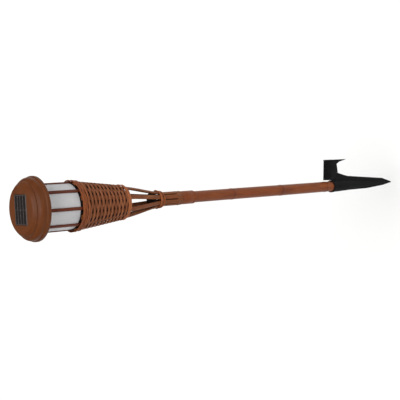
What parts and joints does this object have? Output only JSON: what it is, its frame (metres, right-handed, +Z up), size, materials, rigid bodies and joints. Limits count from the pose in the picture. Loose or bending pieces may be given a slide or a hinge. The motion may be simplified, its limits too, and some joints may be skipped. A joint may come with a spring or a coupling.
{
  "type": "tiki torch",
  "caption": "Solar garden torch: domed cap with a solar cell over a ribbed frosted lantern, woven basket on a bamboo pole, ground spike with a foot step.",
  "frame": {"origin": "on the pole's axis at the ground line, level with the outer edge of the foot step's tread, where the spike enters the ground", "axes": "+Z up along the pole to the lamp head; +X from the pole towards the foot step; -Z down along the spike"},
  "size_m": [0.1765, 0.17, 1.5024],
  "materials": {
    "bamboo_pole": "brown-stained bamboo, satin lacquer",
    "bamboo_staves": "split bamboo, stained brown",
    "cane_weave": "woven cane strips, stained brown",
    "plug_wood": "dark stained wood plug",
    "tack_brown": "tack heads under the brown stain",
    "cap_brown": "moulded polypropylene, fine satin texture",
    "cage_brown": "moulded polypropylene, satin",
    "diffuser_frosted": "frosted white polypropylene",
    "spike_black": "black polypropylene, fine grain",
    "liner_black": "thin moulded polypropylene, near black",
    "screw_steel": "zinc-plated steel",
    "solar_cell": "dark silicon cells under clear resin",
    "gasket_foam": "closed-cell foam tape",
    "module_white": "moulded off-white ABS",
    "board_green": "solder mask over glass-epoxy",
    "part_black": "moulded component bodies",
    "led_epoxy": "milky epoxy lens",
    "contact_metal": "nickel-plated steel",
    "reflector_white": "glossy white ABS",
    "cell_wrap": "plain shrink sleeve",
    "lead_red": "PVC insulation",
    "lead_black": "PVC insulation",
    "switch_black": "nylon switch housing",
    "knob_white": "acetal slider"
  },
  "bodies": {
    "stand": {"ground_spike": "spike_black", "pole": "bamboo_pole", "pole_coupler": "bamboo_pole", "neck_plug": "plug_wood", "split_bamboo": "bamboo_staves", "stave_spreader": "plug_wood", "stave_tacks": "tack_brown", "neck_binding": "cane_weave", "foot_binding": "cane_weave", "basket_weave": "cane_weave", "rim_binding": "cane_weave", "basket_liner": "liner_black", "lantern_base_ring": "liner_black", "lantern_ribs": "cage_brown", "lantern_top_ring": "cage_brown", "diffuser": "diffuser_frosted"},
    "lamp_head": {"top_cap": "cap_brown", "cap_screws": "screw_steel", "solar_panel": "solar_cell", "panel_gasket": "gasket_foam", "module_base": "module_white", "module_seal": "gasket_foam", "circuit_board": "board_green", "board_parts": "part_black", "board_screws": "screw_steel", "led_lamp": "led_epoxy", "led_legs": "contact_metal", "led_reflector": "reflector_white", "battery_cell": "cell_wrap", "battery_spring": "contact_metal", "battery_contact": "contact_metal", "red_leads": "lead_red", "black_leads": "lead_black", "switch_body": "switch_black"},
    "battery_door": {"battery_door": "module_white"},
    "switch_slider": {"switch_slider": "knob_white"}
  },
  "joints": [
    {"name": "lamp_head_lift", "type": "slide", "parent": "stand", "child": "lamp_head", "axis": [0, 0, 1], "range_m": [0, 0.08]},
    {"name": "battery_door_hinge", "type": "hinge", "parent": "lamp_head", "child": "battery_door", "pos_m": [0, 0.0392, 1.1194], "axis": [1, 0, 0], "range_deg": [0, 100]},
    {"name": "switch_slide", "type": "slide", "parent": "lamp_head", "child": "switch_slider", "axis": [1, 0, 0], "range_m": [0, 0.003]}
  ]
}
